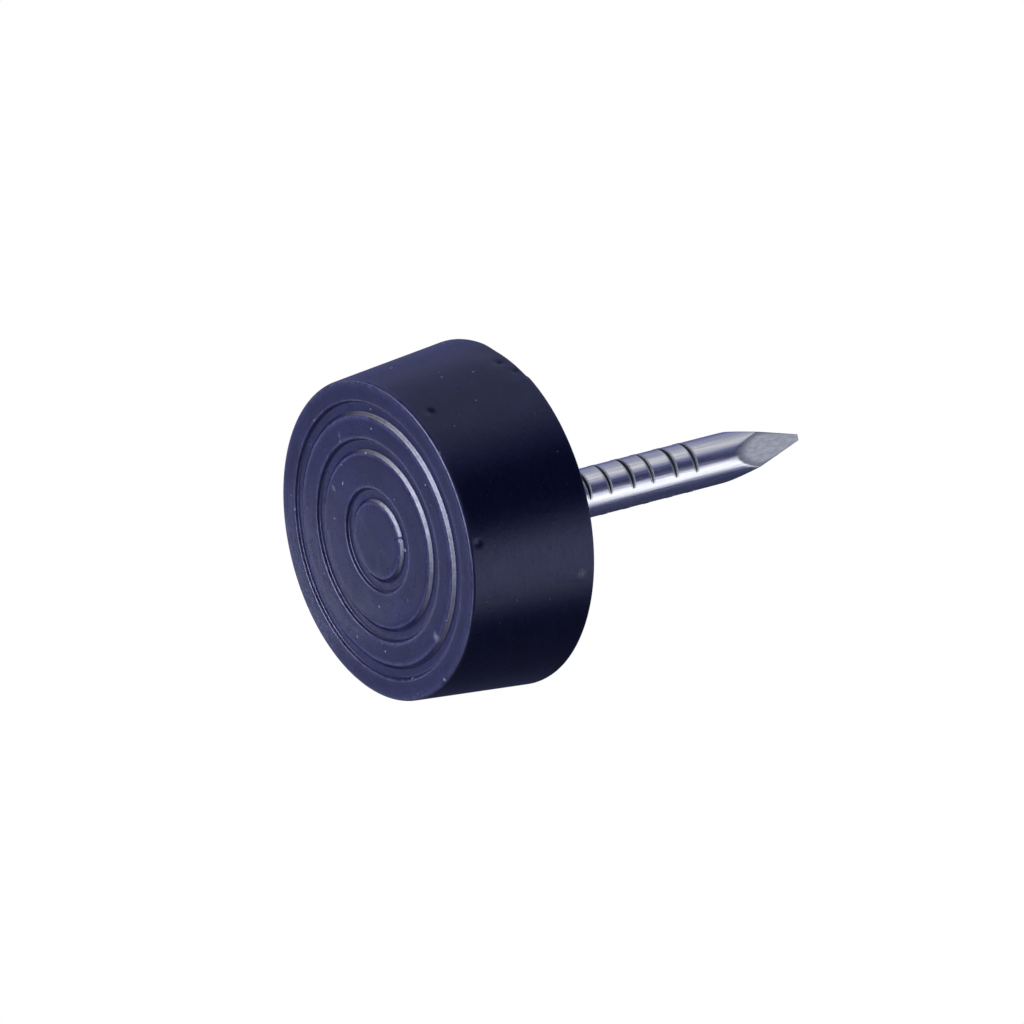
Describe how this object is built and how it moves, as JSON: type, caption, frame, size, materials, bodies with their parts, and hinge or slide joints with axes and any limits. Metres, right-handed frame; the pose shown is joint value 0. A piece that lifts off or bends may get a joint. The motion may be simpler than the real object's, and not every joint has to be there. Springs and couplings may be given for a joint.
{
  "type": "nail on furniture glide",
  "caption": "Short round moulded foot with three ring grooves in its floor face, moulded round the head of a wire nail that is driven into a chair or table leg.",
  "frame": {"origin": "middle of the foot's round floor face, on which it stands", "axes": "+Z along the nail towards its point, which is the way it is driven into the leg; +X and +Y across the foot"},
  "size_m": [0.0222, 0.0222, 0.0329],
  "materials": {
    "moulded_plastic": "moulded, satin, blue black",
    "bright_steel": "bright drawn wire, plain"
  },
  "bodies": {
    "root": {"glide_foot": "moulded_plastic", "nail": "bright_steel"}
  },
  "joints": []
}
